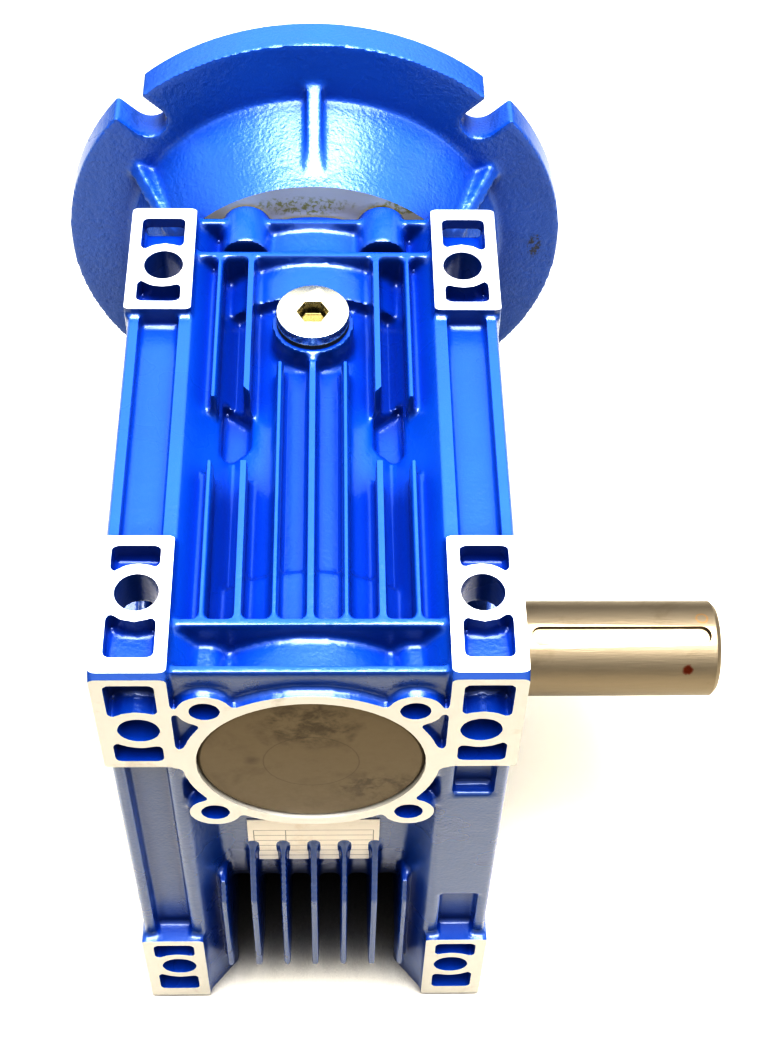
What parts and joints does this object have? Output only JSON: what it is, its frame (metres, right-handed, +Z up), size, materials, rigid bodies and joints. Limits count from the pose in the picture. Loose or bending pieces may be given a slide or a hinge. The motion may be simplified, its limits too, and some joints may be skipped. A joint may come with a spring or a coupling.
{
  "type": "worm gear reducer",
  "caption": "Right-angle worm gear reducer with feet on every face, a motor flange and one solid output shaft.",
  "frame": {"origin": "centre of the four bottom foot holes, on the foot faces", "axes": "+X along the output shaft towards its free end, +Y along the worm towards the motor flange, +Z up"},
  "size_m": [0.216, 0.2114, 0.2436],
  "materials": {
    "blue_casting": "gloss",
    "ground_steel": "satin",
    "bronze": "satin",
    "cast_hub": "satin",
    "bearing_steel": "polished",
    "zinc_steel": "satin",
    "seal_rubber": "matte",
    "cap_metal": "satin",
    "label_white": "satin"
  },
  "bodies": {
    "housing": {"housing": "blue_casting", "side_cover": "blue_casting", "side_cover_screws": "zinc_steel", "input_flange": "blue_casting", "flange_bolts": "zinc_steel", "input_gasket": "seal_rubber", "rear_end_cap": "cap_metal", "oil_seals": "seal_rubber", "fill_plug": "zinc_steel", "fill_plug_washer": "seal_rubber", "drain_plug": "zinc_steel", "drain_plug_washer": "seal_rubber", "nameplate": "label_white", "rear_bearing_outer_ring": "bearing_steel", "input_bearing_outer_ring": "bearing_steel", "right_bearing_outer_ring": "bearing_steel", "left_bearing_outer_ring": "bearing_steel"},
    "wheel": {"wheel_hub": "cast_hub", "worm_wheel_rim": "bronze", "output_shaft": "ground_steel", "hub_key": "zinc_steel", "shaft_retaining_washer": "zinc_steel", "shaft_retaining_bolt": "zinc_steel", "right_bearing_inner_ring": "bearing_steel", "left_bearing_inner_ring": "bearing_steel"},
    "worm": {"worm_shaft": "ground_steel", "rear_bearing_inner_ring": "bearing_steel", "input_bearing_inner_ring": "bearing_steel"},
    "right_cage": {"right_bearing_ball_row": "bearing_steel"},
    "left_cage": {"left_bearing_ball_row": "bearing_steel"},
    "rear_cage": {"rear_bearing_ball_row": "bearing_steel"},
    "input_cage": {"input_bearing_ball_row": "bearing_steel"}
  },
  "joints": [
    {"name": "wheel_spin", "type": "hinge", "parent": "housing", "child": "wheel", "pos_m": [0, 0, 0.086], "axis": [1, 0, 0], "continuous": true},
    {"name": "worm_spin", "type": "hinge", "parent": "housing", "child": "worm", "pos_m": [0, 0, 0.161], "axis": [0, 1, 0], "continuous": true},
    {"name": "right_cage_spin", "type": "hinge", "parent": "housing", "child": "right_cage", "pos_m": [0, 0, 0.086], "axis": [1, 0, 0], "continuous": true},
    {"name": "left_cage_spin", "type": "hinge", "parent": "housing", "child": "left_cage", "pos_m": [0, 0, 0.086], "axis": [1, 0, 0], "continuous": true},
    {"name": "rear_cage_spin", "type": "hinge", "parent": "housing", "child": "rear_cage", "pos_m": [0, 0, 0.161], "axis": [0, 1, 0], "continuous": true},
    {"name": "input_cage_spin", "type": "hinge", "parent": "housing", "child": "input_cage", "pos_m": [0, 0, 0.161], "axis": [0, 1, 0], "continuous": true}
  ],
  "couplings": [
    {"joint": "worm_spin", "follows": "wheel_spin", "ratio": 30},
    {"joint": "right_cage_spin", "follows": "wheel_spin", "ratio": 0.433},
    {"joint": "left_cage_spin", "follows": "wheel_spin", "ratio": 0.433},
    {"joint": "rear_cage_spin", "follows": "wheel_spin", "ratio": 11.9},
    {"joint": "input_cage_spin", "follows": "wheel_spin", "ratio": 12.8}
  ]
}
